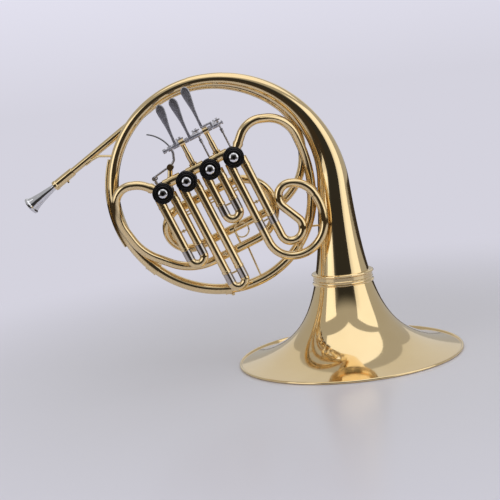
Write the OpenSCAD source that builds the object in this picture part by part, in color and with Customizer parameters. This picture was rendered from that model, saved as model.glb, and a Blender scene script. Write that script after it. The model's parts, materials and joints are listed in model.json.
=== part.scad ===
// Single french horn with four rotary valves, standing on its bell.
// Origin at the middle of the bell rim, on the plane it stands on. X runs along the body towards the
// bell, Y away from the valve caps, Z up the bell axis. Millimetres.

/* [Bell] */
// Outer radius of the bell rim
rim_r = 155; // [150:1:158]
// How fast the flare opens: distance above the rim at which it has closed most
flare_depth = 25; // [24:0.5:26]
// Exponent of the flare curve
flare_power = 0.835; // [0.83:0.005:0.84]
// Thickness of the bell sheet
bell_wall = 0.6; // [0.5:0.05:0.7]
// Height of the lower edge of the garland ring
ring_z = 101; // [99:1:103]
// Height at which the straight bell throat ends and the tail starts to bend
throat_top = 240; // [239:0.5:241]

/* [Body tubing] */
// Radius of the bend of the bell tail
tail_bend = 155; // [154:0.5:156]
// Outer radius of the tail's small end
tail_end_r = 7.8; // [7.7:0.1:8]
// Radius of the large body loop
loop_bend = 142.5; // [142:0.5:143]
// Outer radius of the upper loop branch
upper_r = 7.7; // [7.6:0.1:7.8]
// Outer radius of the lower loop branch
lower_r = 7.2; // [7.1:0.1:7.3]
// Outer radius of the first branch
first_r = 6.6; // [6.5:0.1:6.7]
// Wall of all the body tubes
tube_wall = 0.5; // [0.4:0.05:0.6]
// How far the leadpipe lies behind the body loop
leadpipe_y = 14.8; // [14.5:0.1:15.2]
// Distance the mouthpiece shank sits in its receiver
shank_depth = 22; // [20:1:24]

/* [Valves] */
// Tilt of the valve row against the ground
row_tilt = 20.5; // [20.4:0.1:20.6]
// Distance between neighbouring valves
valve_pitch = 34.8; // [34.6:0.1:35]
// How far the valve plane lies in front of the body loop
valve_front = 30; // [30:0.1:30.4]
// Outer radius of a valve casing
casing_r = 13; // [12.8:0.1:13.2]
// Radius of the rotor bore in a casing
bore_r = 10.5; // [10.4:0.1:10.6]
// Radial running clearance of rotors, spindles, hinges and slides
fit = 0.05; // [0.04:0.01:0.06]
// Half the distance between the two legs of a valve slide
leg_half = 9.4; // [9.3:0.1:9.5]
// Outer radius of the slide sleeves
sleeve_r = 6; // [5.9:0.1:6]
// Lengths from the valve centres to the ends of the slide sleeves
sleeve_reach = [82, 134.5, 49.5, 91]; // [49:0.1:135]

/* [Mechanism] */
// Radius of a stop arm
stop_r = 7; // [6.9:0.1:7.1]
// Length of a lever's short arm
arm_len = 28.5; // [28:0.1:29]
// Distance of the lever axle above the row line
axle_v = 29.5; // [29:0.5:30]
// Radius of the lever axle
axle_r = 1.8; // [1.7:0.1:1.9]

/* [Hidden] */
$fn = 64;

brass = [0.83, 0.66, 0.33];
silver = [0.85, 0.85, 0.87];
steel = [0.45, 0.45, 0.5];
black = [0.12, 0.12, 0.14];
row_x = -258;
row_z = 262;
first_u = 25.5;
valve_v = -18.2;
loop_x = -tail_bend;
loop_top = throat_top + tail_bend;
loop_z = loop_top - loop_bend;
port_half = 9;
casing_half = 15;
axle_y = -34.5;
link_y = -6.2;
swing = 20;
quarter = 90;

// ---------------------------------------------------------------- directions and tubes
function unit(a) = a / norm(a);
function row_dir(angle) = [cos(row_tilt + angle), 0, sin(row_tilt + angle)];
function row_point(u, y, v) = [row_x, y, row_z] + u * row_dir(0) + v * row_dir(90);
function valve_u(k) = first_u + valve_pitch * (k - 1);
function side_of(d) = unit(cross(d, abs(d[1]) > 0.9 ? [1, 0, 0] : [0, 1, 0]));
function frame_of(x, y, z, p) = [
    [x[0], y[0], z[0], p[0]],
    [x[1], y[1], z[1], p[1]],
    [x[2], y[2], z[2], p[2]],
    [0, 0, 0, 1]
];
function corner(p, i) =
    let (a = unit(p[i] - p[i - 1]), b = unit(p[i + 1] - p[i]))
    acos(max(-1, min(1, a * b)));

// Ring section of a tube
module tube_section(outer, inner) {
    difference() {
        circle(outer);
        if (inner > 0) circle(inner);
    }
}

// Straight tube from p to q
module straight_tube(p, q, outer, inner) {
    d = unit(q - p);
    s = side_of(d);
    multmatrix(frame_of(s, cross(d, s), d, p))
        linear_extrude(norm(q - p)) tube_section(outer, inner);
}

// Bend at corner p, from direction a to direction b
module tube_bend(p, a, b, bend, outer, inner) {
    angle = acos(a * b);
    n = unit(b - (a * b) * a);
    centre = p - a * bend * tan(angle / 2) + n * bend;
    multmatrix(frame_of(-n, a, cross(-n, a), centre))
        rotate_extrude(angle = angle) translate([bend, 0]) tube_section(outer, inner);
}

// Tube along straight legs between the points p, with a bend of the given radius at each corner;
// the legs are a hair thinner than the bends and reach a little way into them
module bent_tube(p, bends, outer, inner) {
    last = len(p) - 1;
    cut = [for (i = [0:last]) i == 0 || i == last ? 0 : bends[i - 1] * tan(corner(p, i) / 2) - 0.3];
    for (i = [0:last - 1]) {
        d = unit(p[i + 1] - p[i]);
        run = norm(p[i + 1] - p[i]) - cut[i] - cut[i + 1];
        assert(run > 0.5, str("leg ", i, " of the tube is short by ", 0.5 - run));
        bore = inner > 0 ? inner + 0.03 : 0;
        straight_tube(p[i] + d * cut[i], p[i + 1] - d * cut[i + 1], outer - 0.03, bore);
    }
    for (i = [1:1:last - 1])
        tube_bend(p[i], unit(p[i] - p[i - 1]), unit(p[i + 1] - p[i]), bends[i - 1], outer, inner);
}

// Arc of tube in the plane of the body loop, about [x, z], from angle a to angle b
module loop_arc(x, z, bend, a, b, outer, inner, y = 0) {
    translate([x, y, z]) rotate([90, 0, 0])
        rotate_extrude(angle = b - a, start = a) translate([bend, 0]) tube_section(outer, inner);
}

// Children in the frame of the valve row: X along the row, Z across it, at valve k's axis
module at_row() {
    translate([row_x, 0, row_z]) rotate([0, -row_tilt, 0]) children();
}

module at_valve(k) {
    at_row() translate([valve_u(k), -valve_front, valve_v]) children();
}

// Solid of revolution about the valve axis, from [radius, distance towards the back] points
module turned(points) {
    rotate([-90, 0, 0]) rotate_extrude() polygon(points);
}

// Round bar along the valve axis from y0 to y1
module bar_y(r, y0, y1) {
    translate([0, y0, 0]) rotate([-90, 0, 0]) cylinder(r = r, h = y1 - y0);
}

// Round bar along the row from u0 to u1
module bar_u(r, u0, u1) {
    translate([u0, 0, 0]) rotate([0, 90, 0]) cylinder(r = r, h = u1 - u0);
}

// ---------------------------------------------------------------- bell
rim_bead_r = 1.8;
flare_start = 1.35;
flare_end = 106;
flare_steps = 26;
tail_rings = 30;
tail_sides = 32;
tail_wall = 0.6;

function flare_r(z) = rim_r * pow(flare_depth / (z - 1 + flare_depth), flare_power);
function flare_slope(z) = -flare_power * flare_r(z) / (z - 1 + flare_depth);
function flare_inner(z) =
    let (s = flare_slope(z), n = sqrt(1 + s * s))
    [flare_r(z) - bell_wall / n, z + bell_wall * s / n];

module flare_shell(z0, z1, steps) {
    heights = [for (i = [0:steps]) z0 + (z1 - z0) * pow(i / steps, 1.6)];
    outside = [for (z = heights) [flare_r(z), z]];
    inside = [for (i = [steps:-1:0]) flare_inner(heights[i])];
    rotate_extrude($fn = 96) polygon(concat(outside, inside));
}

module bell_flare() {
    color(brass) flare_shell(flare_start, flare_end, flare_steps);
}

// Wire that the bell's edge is rolled round, flat where it stands, with a groove for the sheet
module bell_rim_wire() {
    color(brass) difference() {
        rotate_extrude($fn = 96) intersection() {
            translate([rim_r - rim_bead_r, rim_bead_r - 0.2]) circle(rim_bead_r);
            translate([rim_r - 4, 0]) square(4);
        }
        flare_shell(flare_start, flare_end, flare_steps);
    }
}

module garland_foot_ring() {
    top = ring_z + 6;
    rotate_extrude($fn = 96) polygon([
        [flare_r(ring_z), ring_z], [42, ring_z + 0.5], [42.3, ring_z + 1.2], [42.3, ring_z + 2.4],
        [41, ring_z + 3.4], [40.6, ring_z + 4.2], [40.6, top], [flare_r(top), top],
        [flare_r(ring_z + 3), ring_z + 3]
    ]);
}

module garland_top_ring() {
    foot = ring_z + 6;
    top = ring_z + 16;
    rotate_extrude($fn = 96) polygon([
        [flare_r(foot), foot], [40.9, foot], [41.2, foot + 0.6], [40.6, foot + 1.4], [40.6, foot + 6],
        [41.4, foot + 6.8], [42.4, foot + 7.2], [42.6, foot + 8.2], [42.2, foot + 9.2],
        [41, top], [flare_r(top), top], [flare_r(foot + 5), foot + 5]
    ]);
}

module garland_rings() {
    color(brass) {
        garland_foot_ring();
        garland_top_ring();
    }
}

module bell_throat() {
    color(brass) flare_shell(flare_end, throat_top, 14);
}

function tail_r(a) = flare_r(throat_top) * pow(tail_end_r / flare_r(throat_top), a / quarter);
function tail_ring(a, r) = [
    for (j = [0:tail_sides - 1])
    let (t = 360 * j / tail_sides, e = tail_bend + r * cos(t))
    [loop_x + e * cos(a), r * sin(t), throat_top + e * sin(a)]
];

// Curved, tapering tail from the throat to the top of the loop
module bell_tail() {
    m = tail_sides;
    inner0 = (tail_rings + 1) * m;
    steps = [for (i = [0:tail_rings]) quarter * i / tail_rings];
    outside = [for (a = steps) each tail_ring(a, tail_r(a))];
    inside = [for (a = steps) each tail_ring(a, tail_r(a) - tail_wall)];
    skin = [for (i = [0:tail_rings - 1], j = [0:m - 1]) let (n = (j + 1) % m)
        [i * m + j, i * m + n, (i + 1) * m + n, (i + 1) * m + j]];
    bore = [for (f = skin) [for (k = [3:-1:0]) f[k] + inner0]];
    start_cap = [for (j = [0:m - 1]) let (n = (j + 1) % m) [n, j, inner0 + j, inner0 + n]];
    end0 = tail_rings * m;
    end_cap = [for (j = [0:m - 1]) let (n = (j + 1) % m)
        [end0 + j, end0 + n, inner0 + end0 + n, inner0 + end0 + j]];
    color(brass) polyhedron(concat(outside, inside), concat(skin, bore, start_cap, end_cap), convexity = 6);
}

// ---------------------------------------------------------------- body loop
first_bend = 125;
first_z = loop_z - loop_bend + first_bend;
first_x = loop_x + first_bend;
branch_r = 6;
ferrule_r = 8.8;
branch_joint = 225;
valve_branch_points = [
    [first_x, 0, first_z], [first_x, 0, 270], [-54, -14, 336], [-109.2, -valve_front, 336],
    row_point(valve_u(4), -valve_front, valve_v) + 18 * row_dir(45)
];

// Ferrule over the joint of tail and loop: its bore steps down along the taper of the tail
module tail_ferrule() {
    start = 82;
    end = 100;
    steps = [start, start + 1, 85, 87.5, 90.1];
    color(brass) {
        difference() {
            union() {
                loop_arc(loop_x, throat_top, tail_bend, start + 1, 90, ferrule_r, 0);
                loop_arc(loop_x, throat_top, tail_bend, start, start + 1, ferrule_r + 0.4, 0);
            }
            for (i = [0:3]) {
                from = steps[i] - 0.1;
                loop_arc(loop_x, throat_top, tail_bend, from, steps[i + 1], tail_r(from), 0);
            }
        }
        loop_arc(loop_x, loop_z, loop_bend, 90, end, ferrule_r, upper_r);
        loop_arc(loop_x, loop_z, loop_bend, end, end + 1, ferrule_r + 0.4, upper_r);
    }
}

// Solid volumes of the loop's tubes, for seating what is soldered on them
module loop_solid() {
    loop_arc(loop_x, loop_z, loop_bend, 88, branch_joint + 1, upper_r, 0);
    loop_arc(loop_x, loop_z, loop_bend, branch_joint, 271, lower_r, 0);
    loop_arc(loop_x, first_z, first_bend, 269, 360, first_r, 0);
}

module loop_upper_branch() {
    color(brass) loop_arc(loop_x, loop_z, loop_bend, 90, branch_joint, upper_r, upper_r - tube_wall);
}

module loop_lower_branch() {
    color(brass) loop_arc(loop_x, loop_z, loop_bend, branch_joint, 270, lower_r, lower_r - tube_wall);
}

module first_branch() {
    color(brass) loop_arc(loop_x, first_z, first_bend, 270, 360, first_r, first_r - tube_wall);
}

module valve_branch() {
    color(brass) bent_tube(valve_branch_points, [160, 45, 31], branch_r, branch_r - tube_wall);
}

// Beaded collar round the loop at angle a, covering the joint of two branches
module loop_collar(z, bend, a, inner, half = 2.4, bead = 1.2) {
    bead_half = 0.35;
    loop_arc(loop_x, z, bend, a - half, a + half, inner + 0.7, inner);
    for (end = [-1, 1]) {
        middle = a + end * (half + 0.2);
        loop_arc(loop_x, z, bend, middle - bead_half, middle + bead_half, inner + bead, inner);
    }
}

module loop_ferrules() {
    color(brass) {
        loop_collar(loop_z, loop_bend, branch_joint, upper_r);
        loop_collar(loop_z, loop_bend, 268.8, lower_r, 1);
        loop_collar(first_z, first_bend, 358.4, first_r, 1, 0.85);
        translate([loop_x + 3, 0, loop_z - loop_bend - lower_r - 2.6]) cylinder(r = 2, h = 3.2);
    }
}

// Half-round strip soldered on the outside of the loop, where the player's leg would rub it
module guard_strip() {
    color(brass) difference() {
        loop_arc(loop_x, loop_z, loop_bend + upper_r + 1.2, 160, 207, 1.9, 0);
        loop_solid();
    }
}

// ---------------------------------------------------------------- leadpipe
lead_r = 5.5;
lead_tip_r = 4.6;
receiver_start = 148;
receiver_end = 171;
mouthpiece_end = receiver_end + 44;
tuning_b_v = -108;
tuning_b_end = 140.2;

// Corners of a level run of tube from p at heading h; each bend is [straight before it, radius, turn]
function route(p, h, bends, last, k = 0, carry = 0) =
    let (d = [cos(h), 0, sin(h)])
    k == len(bends) ? [p, p + (carry + last) * d] :
    let (t = bends[k][1] * tan(bends[k][2] / 2), turn = p + (carry + bends[k][0] + t) * d)
    concat([p], route(turn, h + bends[k][2], bends, last, k + 1, t));

lead_points = route(
    row_point(tuning_b_end, leadpipe_y, tuning_b_v), row_tilt,
    [[0.5, 80, 90 - row_tilt], [6, 80, 49], [0.1, 150, 41], [0.1, 132, 32.6]], 2
);
lead_tip = lead_points[len(lead_points) - 1];
lead_dir = unit(lead_tip - lead_points[len(lead_points) - 2]);
function on_lead(s) = lead_tip + (s - 2) * lead_dir;

// Children along the straight end of the leadpipe, Z towards the player
module on_leadpipe(s) {
    side = side_of(lead_dir);
    multmatrix(frame_of(side, cross(lead_dir, side), lead_dir, on_lead(s))) children();
}

lead_bends = [80, 80, 150, 132];
lead_taper = receiver_start - 4;

module leadpipe() {
    color(brass) {
        bent_tube(lead_points, lead_bends, lead_r, lead_r - tube_wall);
        on_leadpipe(2) difference() {
            cylinder(r1 = lead_r, r2 = lead_tip_r, h = lead_taper);
            translate([0, 0, -0.01])
                cylinder(r1 = lead_r - tube_wall, r2 = lead_tip_r - tube_wall, h = lead_taper + 0.02);
        }
    }
}

module mouthpiece_receiver() {
    color(brass) difference() {
        union() {
            on_leadpipe(receiver_start - 10) rotate_extrude() polygon([
                [0, 0], [5.6, 0], [5.9, 1], [6.1, 10], [6.2, 28], [6.9, 29], [6.9, 32], [6.3, 33], [0, 33]
            ]);
            on_leadpipe(receiver_start + 4) rotate([0, 90, 0]) cylinder(r = 1.6, h = 8.4);
        }
        on_leadpipe(receiver_start - 11) cylinder(r = lead_tip_r + 0.1, h = 13);
        on_leadpipe(receiver_start + 1.9)
            cylinder(r1 = 3.6, r2 = 4.2, h = receiver_end - receiver_start - 1.8);
    }
}

// Funnel mouthpiece: a tapered shank, a slim cup and a rounded rim
module mouthpiece() {
    bottom = receiver_end - shank_depth;
    top = mouthpiece_end - bottom;
    color(silver) on_leadpipe(bottom) rotate_extrude() polygon(concat(
        [[3.35, 0], [4.13, shank_depth - 0.6], [4.3, shank_depth + 4], [5.1, shank_depth + 10]],
        [[6.6, top - 22], [8.6, top - 11], [10.2, top - 5], [12, top - 3.4], [12.2, top - 1.6]],
        [[11.4, top - 0.4], [10.4, top], [9.4, top - 0.5], [8.8, top - 2], [6.6, top - 12]],
        [[3.6, top - 26], [2.2, top - 34], [2.6, 0]]
    ));
}

// Curved wire from the underside of the leadpipe over to the outer left of the loop
module leadpipe_brace() {
    foot = [loop_x, 0, loop_z] + (loop_bend + upper_r - 1) * [cos(158), 0, sin(158)];
    start = on_lead(113) + 3.6 * [0.54, -0.5, -0.84];
    shoe = [1.8, -3, -3.4];
    color(brass) difference() {
        union() {
            bent_tube([start, [-312, 6, 310], foot], [9], 1.7, 0);
            straight_tube(on_lead(118) + shoe, on_lead(108) + shoe, 2.2, 0);
        }
        on_leadpipe(2) cylinder(r1 = lead_r, r2 = lead_tip_r, h = lead_taper);
        loop_solid();
    }
}

// ---------------------------------------------------------------- main tuning slide and feed pipe
rear_r = 5.9;
rear_in = 5.5;
tuning_a_v = -48;
feed_v = -133.5;
bow_u = 31.5;
sleeve_u = 39;
return_u = 108;
return_bend = (tuning_a_v - feed_v) / 2;
tuning_gap = [leadpipe_y, tuning_a_v - tuning_b_v];
tuning_bend = norm(tuning_gap) / 2;
feed_points = [
    row_point(return_u, 0, feed_v), [-203, 0, 140], [-268, -14, 175], [-293, -24, 222],
    [-293, -valve_front, 267.5], [-257.6, -valve_front, 267.5],
    row_point(valve_u(1), -valve_front, valve_v) + 18 * row_dir(135)
];

module row_tube(u0, u1, y, v, outer, inner) {
    straight_tube(row_point(u0, y, v), row_point(u1, y, v), outer, inner);
}

// Outer sleeve along the row, with a thicker band of the given length at each end
module row_sleeve(u1, y, v, band) {
    difference() {
        union() {
            row_tube(sleeve_u, u1, y, v, rear_r, 0);
            row_tube(sleeve_u, sleeve_u + 4, y, v, rear_r + 0.7, 0);
            row_tube(u1 - band, u1, y, v, rear_r + 0.7, 0);
        }
        row_tube(sleeve_u - 1, u1 + 1, y, v, rear_in, 0);
    }
}

module tuning_sleeves() {
    color(brass) {
        row_sleeve(return_u, 0, tuning_a_v, 5);
        row_sleeve(tuning_b_end, leadpipe_y, tuning_b_v, 8);
    }
}

// Half turn from the upper sleeve down to the feed pipe
module return_bow() {
    color(brass) at_row() translate([return_u, 0, (tuning_a_v + feed_v) / 2]) rotate([90, 0, 0])
        rotate_extrude(angle = 180, start = -90) translate([return_bend, 0]) tube_section(rear_r, rear_in);
}

module tuning_slide_bow() {
    legs = [[0, tuning_a_v], [leadpipe_y, tuning_b_v]];
    color(brass) {
        for (leg = legs) difference() {
            union() {
                row_tube(bow_u, sleeve_u + 46, leg[0], leg[1], rear_in - fit, 0);
                row_tube(bow_u, sleeve_u - 0.4, leg[0], leg[1], rear_r + 0.5, 0);
            }
            row_tube(bow_u - 1, sleeve_u + 47, leg[0], leg[1], rear_in - 0.5, 0);
        }
        at_row() translate([bow_u, leadpipe_y / 2, (tuning_a_v + tuning_b_v) / 2])
            rotate([atan2(tuning_gap[0], tuning_gap[1]), 0, 0]) rotate([90, 0, 0])
            rotate_extrude(angle = 180, start = 90) translate([tuning_bend, 0])
            tube_section(rear_r, rear_in);
    }
}

feed_bends = [70, 75, 65, 24, 36];

module feed_pipe() {
    color(brass) bent_tube(feed_points, feed_bends, rear_r, rear_in);
}

// Thin rods that hold the rear tubes to each other and to the loop, ending on the tubes' surfaces
module body_rods() {
    sleeve_3 = row_point(valve_u(3) + leg_half, -valve_front, tuning_a_v);
    difference() {
        union() {
            straight_tube(row_point(91, 0, feed_v), [-111, 0, 121.3], 1.3, 0);
            straight_tube(row_point(84, 0, feed_v), row_point(84, leadpipe_y, tuning_b_v), 1.6, 0);
            straight_tube(sleeve_3 + valve_front * [0, 1, 0], sleeve_3, 1.2, 0);
            straight_tube([loop_x - 4, 0, loop_top], [loop_x - 4, leadpipe_y, loop_top - 6.8], 1.6, 0);
            straight_tube([first_x - 11, 0, 183], [-20, 0, 183], 1.4, 0);
        }
        loop_solid();
        loop_arc(loop_x, loop_z, loop_bend, 88, 100, ferrule_r, 0);
        row_tube(sleeve_u, return_u, 0, tuning_a_v, rear_r + 0.7, 0);
        row_tube(sleeve_u, tuning_b_end, leadpipe_y, tuning_b_v, rear_r, 0);
        bent_tube(feed_points, feed_bends, rear_r, 0);
        bent_tube(lead_points, lead_bends, lead_r, 0);
        at_valve(3) translate([leg_half, 0, -sleeve_reach[2]]) cylinder(r = sleeve_r, h = 30);
        translate([0, 0, 170]) cylinder(r1 = flare_r(170), r2 = flare_r(200), h = 30);
    }
}

// ---------------------------------------------------------------- valves
stub_in = sleeve_r - 0.6;
port_end = 18;
leg_start = 15;
rotor_half = 11.2;
spindle_r = 3;
front_spindle_r = 2.5;

// The two wind ports of valve k: along the row between valves, slanted up at the row's ends
module wind_ports(k, r, from, extra) {
    for (side = [-1, 1])
        if ((k == 1 && side < 0) || (k == 4 && side > 0))
            rotate([0, side * 45, 0]) translate([0, 0, from]) cylinder(r = r, h = port_end + extra - from);
        else
            translate([side * from, 0, port_half]) rotate([0, side * 90, 0])
                cylinder(r = r, h = valve_pitch / 2 + extra - from);
}

module leg_port(r, from, to) {
    for (side = [-1, 1])
        translate([side * leg_half, 0, -to]) cylinder(r = r, h = to - from);
}

module valve_casing(k) {
    color(brass) at_valve(k) difference() {
        union() {
            bar_y(casing_r, -casing_half, casing_half);
            bar_y(casing_r + 0.6, casing_half - 3, casing_half - 0.5);
            wind_ports(k, sleeve_r, 5, 0);
            leg_port(sleeve_r, 5, leg_start);
        }
        bar_y(bore_r, -casing_half - 1, rotor_half + 0.1);
        bar_y(spindle_r + fit, 0, casing_half + 1);
        wind_ports(k, stub_in, 3, 2);
        leg_port(stub_in, 3, leg_start + 1);
    }
}

module bearing_plates() {
    color(brass) for (k = [1:4]) at_valve(k)
        turned([
            [front_spindle_r + fit, -casing_half + 0.1], [bore_r, -casing_half + 0.1],
            [bore_r, -rotor_half - 0.3], [front_spindle_r + fit, -rotor_half - 0.3]
        ]);
}

module valve_caps() {
    color(black) for (k = [1:4]) at_valve(k)
        turned([
            [5.6, -18.6], [9.4, -18.6], [10, -18], [11.6, -18], [12.2, -17.3], [13.4, -17.3], [14, -16.8],
            [14, -11.5], [casing_r, -11.5], [casing_r, -casing_half], [5.6, -casing_half]
        ]);
}

module cap_hubs() {
    dome = [for (a = [0:10:60]) [6.2 * cos(a) + 0.1, -18.9 - 2.4 * sin(a)]];
    color(silver) for (k = [1:4]) at_valve(k)
        turned(concat(
            [[0, -casing_half], [5.6, -casing_half], [5.6, -18.6], [6.3, -18.6]], dome,
            [[2.2, -21], [2.2, -19.4], [0, -19.4]]
        ));
}

plate_top = casing_half + 1.4;

module stop_plates() {
    color(brass) for (k = [1:4]) at_valve(k) difference() {
        bar_y(12.6, casing_half, plate_top);
        bar_y(spindle_r + 0.6, casing_half - 1, plate_top + 1);
    }
}

// Cork bumpers that the stop finger meets at both ends of its quarter turn
module stop_bumpers() {
    color([0.62, 0.42, 0.24]) for (k = [1:4], a = [-77, 77]) {
        finger = k == 1 ? 0 : 180;
        at_valve(k) rotate([0, finger + a, 0]) translate([9.4, 0, 0]) bar_y(2.5, plate_top, plate_top + 3.8);
    }
}

// Outer volume of the collar between a valve and the next
module coupling_solid() {
    translate([valve_pitch / 2, 0, port_half]) {
        bar_u(sleeve_r + 0.8, -2.8, 2.8);
        for (side = [-3.2, 3.2]) bar_u(sleeve_r + 1.3, side - 0.5, side + 0.5);
    }
}

// Tubes and collars that join the valves to each other and to the branches
module valve_couplings() {
    color(brass) {
        for (k = [1:3]) at_valve(k) difference() {
            coupling_solid();
            translate([valve_pitch / 2, 0, port_half]) bar_u(sleeve_r, -5, 5);
        }
        for (end = [[1, 135], [4, 45]]) {
            centre = row_point(valve_u(end[0]), -valve_front, valve_v);
            out = row_dir(end[1]);
            straight_tube(centre + 15.6 * out, centre + 20 * out, sleeve_r + 0.8, sleeve_r);
        }
    }
}

module rotor(k) {
    color(brass) at_valve(k) {
        difference() {
            bar_y(bore_r - fit, -rotor_half, rotor_half);
            for (side = [-1, 1]) translate([0, 0, side * 9.6]) bar_u(5.3, -bore_r - 1, bore_r + 1);
        }
        bar_y(front_spindle_r, -casing_half + 0.4, -rotor_half);
        bar_y(spindle_r, rotor_half, casing_half + 5.2);
    }
}

// Arm clamped on the rear spindle: a pin for the link on one side, a stop finger on the other
module stop_arm(k) {
    rest = k == 1 ? 135 : -45;
    y0 = casing_half + 2.2;
    y1 = casing_half + 5.2;
    color(steel) at_valve(k) rotate([0, rest, 0]) {
        difference() {
            union() {
                bar_y(5.4, y0, y1);
                translate([0, y0, -2.4]) cube([stop_r, y1 - y0, 4.8]);
                translate([stop_r, 0, 0]) bar_y(2.4, y0, y1);
                translate([-10.4, y0, -1.8]) cube([7, y1 - y0, 3.6]);
            }
            bar_y(spindle_r, y0 - 1, y1 + 1);
        }
        translate([stop_r, 0, 0]) bar_y(1.2, y1, 25.9);
        difference() {
            bar_y(3.3, y1, y1 + 1.7);
            translate([-4, y1 + 1, -0.4]) cube([8, 2, 0.8]);
        }
    }
}

// ---------------------------------------------------------------- valve slides
slide_tail = 15.6;
crook_r = 5.9;
slide_in = [56, 94, 32, 54];

module slide_sleeves(k) {
    reach = sleeve_reach[k - 1];
    color(brass) at_valve(k) for (side = [-1, 1]) translate([side * leg_half, 0, -reach]) difference() {
        union() {
            cylinder(r = sleeve_r, h = reach - leg_start);
            cylinder(r = sleeve_r + 0.5, h = 3);
            translate([0, 0, reach - leg_start - 4]) cylinder(r = sleeve_r + 0.4, h = 4);
        }
        translate([0, 0, -1]) cylinder(r = 5.5, h = reach);
    }
}

// Inner legs of slide k with their ferrules, down to the given distance below the valve
module slide_legs(k, down) {
    reach = sleeve_reach[k - 1];
    for (side = [-1, 1]) translate([side * leg_half, 0, 0]) {
        translate([0, 0, -down]) difference() {
            cylinder(r = 5.5 - fit, h = down - reach + slide_in[k - 1]);
            translate([0, 0, -1]) cylinder(r = 5, h = down + slide_in[k - 1]);
        }
        translate([0, 0, -down]) difference() {
            cylinder(r = 6.1, h = down - reach - 0.4);
            translate([0, 0, -1]) cylinder(r = 5.5 - fit, h = down);
        }
    }
    translate([0, 0, -reach - 3.5]) difference() {
        bar_u(1.3, -leg_half, leg_half);
        for (side = [-1, 1]) translate([side * leg_half, 0, -5]) cylinder(r = 5.5 - fit, h = 10);
    }
}

function bow_start(k) = sleeve_reach[k - 1] + slide_tail - 0.4;

module slide_bow(k, inner) {
    translate([0, 0, -bow_start(k)]) rotate([90, 0, 0])
        rotate_extrude(angle = 180, start = 180) translate([leg_half, 0]) tube_section(crook_r, inner);
}

// Crook of slides 1 to 3: two legs joined by a plain half-round bow
module plain_crook(k) {
    color(brass) at_valve(k) {
        slide_legs(k, bow_start(k));
        slide_bow(k, crook_r - 0.5);
    }
}

crook_y = -valve_front;
crook_corners = [
    [-87.2, 150], [-19.4, 150], [-19.4, 212.8], [-39.4, 247.5], [-77, 247.5], [-77, 222],
    [-48.8, 194.3], [-48.8, 170.3]
];
crook_bends = [34, 43.5, 69, 34.5, 17, 17, 15.8, 16, 13.5];

// Crook of slide 4, coiled twice beside the bell throat
module coiled_crook() {
    down = sleeve_reach[3] + 12;
    left = row_point(valve_u(4) - leg_half, crook_y, valve_v - down);
    right = row_point(valve_u(4) + leg_half, crook_y, valve_v - down);
    first_corner = left + (left[2] - 150) / cos(row_tilt) * row_dir(-90);
    last_corner = right + (right[2] - 170.3) / cos(row_tilt) * row_dir(-90);
    middle = [for (i = [1:len(crook_corners) - 1]) [crook_corners[i][0], crook_y, crook_corners[i][1]]];
    color(brass) {
        at_valve(4) slide_legs(4, down);
        bent_tube(
            concat([left, first_corner], middle, [last_corner, right]), crook_bends, crook_r, crook_r - 0.5
        );
    }
}

module slide_crook(k) {
    if (k == 4) coiled_crook();
    else plain_crook(k);
}

// Wire ring on the bow of slide 3, for pulling it out
module pull_ring() {
    lowest = bow_start(3) + leg_half + crook_r;
    color(brass) at_valve(3) {
        translate([0, 0, -lowest - 11.6]) rotate([90, 0, 0]) rotate_extrude() translate([9.6, 0]) circle(1);
        difference() {
            translate([0, 0, -lowest]) bar_y(1.9, -2, 2);
            slide_bow(3, 0);
        }
    }
}

// Short rods between neighbouring slides and between the legs of the long slides
module slide_rods() {
    gap = valve_pitch / 2 - leg_half - sleeve_r;
    for (k = [1:3], v = [37, 41]) at_valve(k) translate([valve_pitch / 2, 0, -v]) bar_u(1.1, -gap, gap);
    for (k = [1, 2, 4]) at_valve(k) translate([0, 0, -sleeve_reach[k - 1] + 24]) {
        bar_u(1.2, -leg_half + sleeve_r, leg_half - sleeve_r);
        bar_u(2.3, -1.2, 1.2);
    }
}

module tube_braces() {
    color(brass) {
        body_rods();
        slide_rods();
    }
}

// ---------------------------------------------------------------- levers
post_r = 3.5;
post_half = 3.5;
hub_r = 3.4;
spring_r = 2.9;
pin_r = 1;
eye_r = 1.6;
axle_ends = [50, 138];
// Each finger lever: hub from, hub to, paddle stem, paddle top, short arm, valve
levers = [
    [64, 73, 68.8, 73.2, 71.4, 2],
    [88, 104, 90, 92, 95.8, 3],
    [122.4, 130.5, 110, 112.4, 126.6, 4]
];
// How far each finger lever's link stands beside its stop pin
link_shift = [0, 10.5, 0, -3.5];
paddle_len = 58;
paddle_tilt = 8;
thumb_y = -11.5;
thumb_u = valve_u(1) - stop_r * cos(45) + arm_len * cos(swing / 2);
thumb_v = 7.5;

function post_u(k) = valve_u(k) + valve_pitch / 2;

module at_axle() {
    at_row() translate([0, axle_y, axle_v]) children();
}

module lever_axle() {
    color(steel) at_axle() {
        bar_u(axle_r, axle_ends[0], axle_ends[1]);
        bar_u(3, axle_ends[0], axle_ends[0] + 4);
        bar_u(2.6, axle_ends[1] - 2, axle_ends[1]);
    }
}

module lever_posts() {
    color(brass) for (k = [2, 3]) {
        foot = row_point(post_u(k), -valve_front, valve_v + port_half + sleeve_r);
        head = row_point(post_u(k), axle_y, axle_v);
        up = unit(head - foot);
        difference() {
            union() {
                straight_tube(foot - up, head, post_r - 0.4, 0);
                straight_tube(foot - up, foot + 17 * up, post_r + 0.3, 0);
                straight_tube(foot - up, foot + 2.5 * up, post_r + 2, 0);
                at_axle() bar_u(4.6, post_u(k) - post_half, post_u(k) + post_half);
            }
            at_axle() bar_u(axle_r, 40, 150);
            at_valve(k) translate([0, 0, port_half]) bar_u(sleeve_r + 0.8, 0, valve_pitch);
            at_valve(k) coupling_solid();
        }
    }
}

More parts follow.
